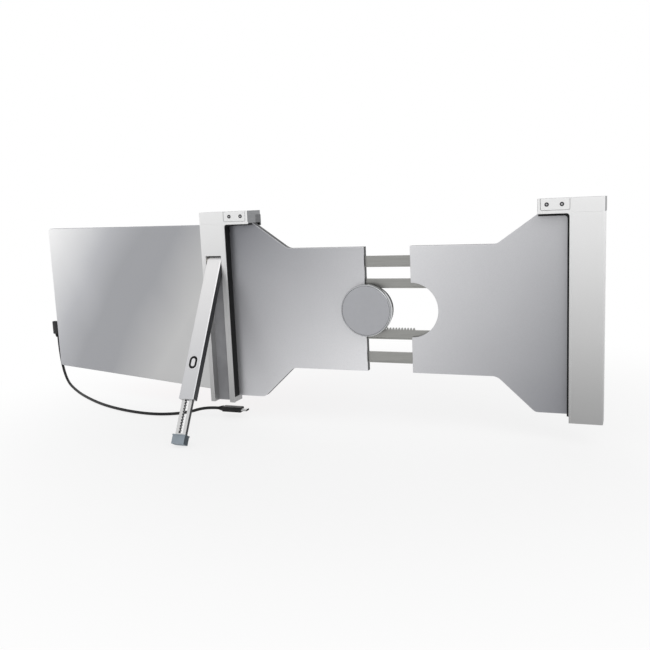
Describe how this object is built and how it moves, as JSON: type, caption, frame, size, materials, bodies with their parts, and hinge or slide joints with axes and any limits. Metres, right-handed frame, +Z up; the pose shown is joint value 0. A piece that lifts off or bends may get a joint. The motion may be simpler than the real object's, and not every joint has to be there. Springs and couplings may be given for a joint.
{
  "type": "laptop screen extender",
  "caption": "Clamp-on frame for a laptop lid with a hinged extra display, rack-and-pinion width knob, telescopic prop leg and a signal cable.",
  "frame": {"origin": "on the knob's axis, on the plane of the silicone pads that the lid leans on", "axes": "+X towards the display's side, +Y to the back, +Z up along the bars"},
  "size_m": [0.7329, 0.2144, 0.2351],
  "materials": {
    "silver_aluminium": "satin anodised",
    "plate_aluminium": "fine satin",
    "display_aluminium": "fine blasted",
    "dark_plastic": "matte",
    "white_plastic": "matte",
    "grey_plastic": "matte",
    "black_rubber": "matte",
    "grey_rubber": "matte",
    "rail_steel": "brushed",
    "bright_steel": "turned",
    "knob_chrome": "polished",
    "gear_plastic": "moulded",
    "brass": "turned",
    "screen_glass": "gloss",
    "panel_white": "lit picture",
    "board_green": "solder resist",
    "cable_black": "matte"
  },
  "bodies": {
    "base_half": {"bar_a": "silver_aluminium", "bar_strip_a": "grey_plastic", "head_a": "silver_aluminium", "head_plate_a": "silver_aluminium", "head_screws_a": "bright_steel", "jaw_a": "black_rubber", "hook_a": "white_plastic", "tray_a": "dark_plastic", "cover_a": "plate_aluminium", "plate_screws_a": "bright_steel", "lid_pads_a": "black_rubber", "rail_guides": "grey_plastic", "lid_rest_pad": "black_rubber", "knob_axle": "bright_steel", "knob_clip": "bright_steel", "hinge_pins": "bright_steel", "leg_pin": "bright_steel", "leg_washers": "gear_plastic"},
    "sliding_half": {"bar_b": "silver_aluminium", "bar_strip_b": "grey_plastic", "head_b": "silver_aluminium", "head_plate_b": "silver_aluminium", "head_screws_b": "bright_steel", "jaw_b": "black_rubber", "hook_b": "white_plastic", "tray_b": "dark_plastic", "cover_b": "plate_aluminium", "plate_screws_b": "bright_steel", "lid_pads_b": "black_rubber", "rail_top": "rail_steel", "rail_upper": "rail_steel", "rail_rack": "rail_steel", "rail_bottom": "rail_steel", "rail_screws": "bright_steel"},
    "knob": {"knob_body": "knob_chrome", "knob_cap": "silver_aluminium", "pinion_gear": "gear_plastic"},
    "display": {"display_back": "display_aluminium", "display_bezel": "display_aluminium", "screen_glass": "screen_glass", "display_panel": "panel_white", "driver_board": "board_green", "port_sockets": "bright_steel", "speakers": "dark_plastic", "hinge_sleeves": "brass", "cable": "cable_black", "angle_plug": "cable_black", "angle_relief": "cable_black", "straight_plug": "cable_black", "straight_relief": "cable_black"},
    "power_key": {"power_button": "display_aluminium"},
    "menu_key": {"menu_button": "display_aluminium"},
    "leg": {"leg_shell": "silver_aluminium", "button_spring": "bright_steel"},
    "leg_extension": {"inner_leg": "bright_steel", "leg_foot": "grey_rubber"},
    "leg_release": {"release_button": "grey_plastic", "latch_pawl": "bright_steel"}
  },
  "joints": [
    {"name": "width_slide", "type": "slide", "parent": "base_half", "child": "sliding_half", "axis": [-1, 0, 0], "range_m": [-0.045, 0.065]},
    {"name": "knob_turn", "type": "hinge", "parent": "base_half", "child": "knob", "pos_m": [0, 0, 0], "axis": [0, 1, 0], "range_deg": [-129.92, 187.21]},
    {"name": "display_swing", "type": "hinge", "parent": "base_half", "child": "display", "pos_m": [0.184, -0.005, 0], "axis": [0, 0, 1], "range_deg": [-124, 16]},
    {"name": "power_press", "type": "slide", "parent": "display", "child": "power_key", "axis": [-0.9613, 0.2756, 0], "range_m": [0, 0.0004], "stiffness_N_per_m": 600, "springref_m": -0.0005},
    {"name": "menu_press", "type": "slide", "parent": "display", "child": "menu_key", "axis": [-0.9613, 0.2756, 0], "range_m": [0, 0.0004], "stiffness_N_per_m": 600, "springref_m": -0.0005},
    {"name": "leg_swing", "type": "hinge", "parent": "base_half", "child": "leg", "pos_m": [0.173, 0.0145, 0.053], "axis": [1, 0, 0], "range_deg": [-29, 26]},
    {"name": "leg_extend", "type": "slide", "parent": "leg", "child": "leg_extension", "axis": [0, 0.4848, -0.8746], "range_m": [-0.035, 0.01]},
    {"name": "release_press", "type": "slide", "parent": "leg", "child": "leg_release", "axis": [0, -0.8746, -0.4848], "range_m": [0, 0.0008], "stiffness_N_per_m": 500, "springref_m": -0.001, "deforming": ["button_spring"]}
  ],
  "couplings": [
    {"joint": "knob_turn", "follows": "width_slide", "rad_per_m": 50}
  ]
}
